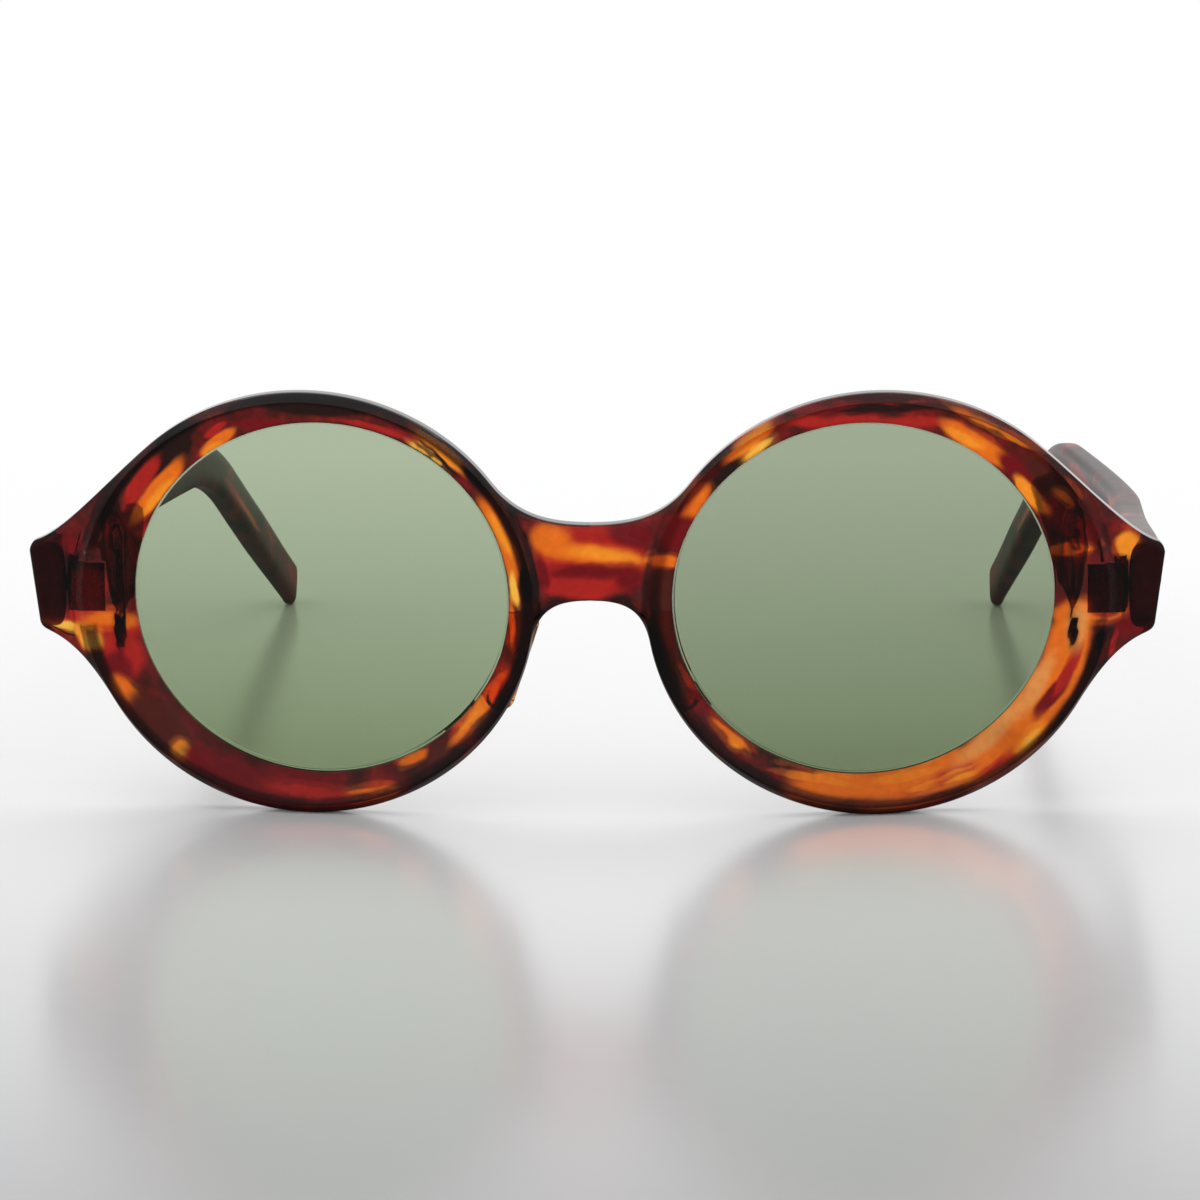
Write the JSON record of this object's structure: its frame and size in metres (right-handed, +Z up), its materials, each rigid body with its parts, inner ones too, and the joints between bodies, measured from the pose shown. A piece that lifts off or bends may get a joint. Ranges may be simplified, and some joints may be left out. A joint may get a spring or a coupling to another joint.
{
  "type": "round sunglasses",
  "caption": "Round tortoise sunglasses: wrapped plastic front with tinted lenses in grooved rims and folding temples on barrel hinges.",
  "frame": {"origin": "Middle of the bounding box in X and Y, at the height of the surface that the rims and temple tips stand on.", "axes": "+X to the wearer's left, +Y from the front to the ears, +Z up. The front faces -Y."},
  "size_m": [0.1398, 0.1517, 0.052],
  "materials": {
    "tortoise_front": "polished, see-through tortoise plastic with amber, red and dark brown patches",
    "tortoise_temple": "polished tortoise plastic, streaked along the temple",
    "tortoise_pad": "polished tortoise plastic",
    "lens_green": "clear grey-green tint, smooth",
    "hinge_metal": "nickel-plated, fine brushed",
    "screw_metal": "bright turned metal",
    "rivet_metal": "polished domed heads",
    "core_wire": "drawn nickel-silver wire"
  },
  "bodies": {
    "front": {"frame_front": "tortoise_front", "lens_left": "lens_green", "lens_right": "lens_green", "nose_pad_left": "tortoise_pad", "nose_pad_right": "tortoise_pad", "hinge_front_leaf_left": "hinge_metal", "hinge_front_leaf_right": "hinge_metal", "hinge_screw_left": "screw_metal", "hinge_screw_right": "screw_metal"},
    "arm_left": {"temple_left": "tortoise_temple", "temple_core_left": "core_wire", "hinge_temple_leaf_left": "hinge_metal", "temple_rivets_left": "rivet_metal"},
    "arm_right": {"temple_right": "tortoise_temple", "temple_core_right": "core_wire", "hinge_temple_leaf_right": "hinge_metal", "temple_rivets_right": "rivet_metal"}
  },
  "joints": [
    {"name": "temple_left_fold", "type": "hinge", "parent": "front", "child": "arm_left", "pos_m": [0.06355, -0.06028, 0.0268], "axis": [0, 0, 1], "range_deg": [0, 86]},
    {"name": "temple_right_fold", "type": "hinge", "parent": "front", "child": "arm_right", "pos_m": [-0.06355, -0.06028, 0.0268], "axis": [0, 0, -1], "range_deg": [0, 76]}
  ]
}
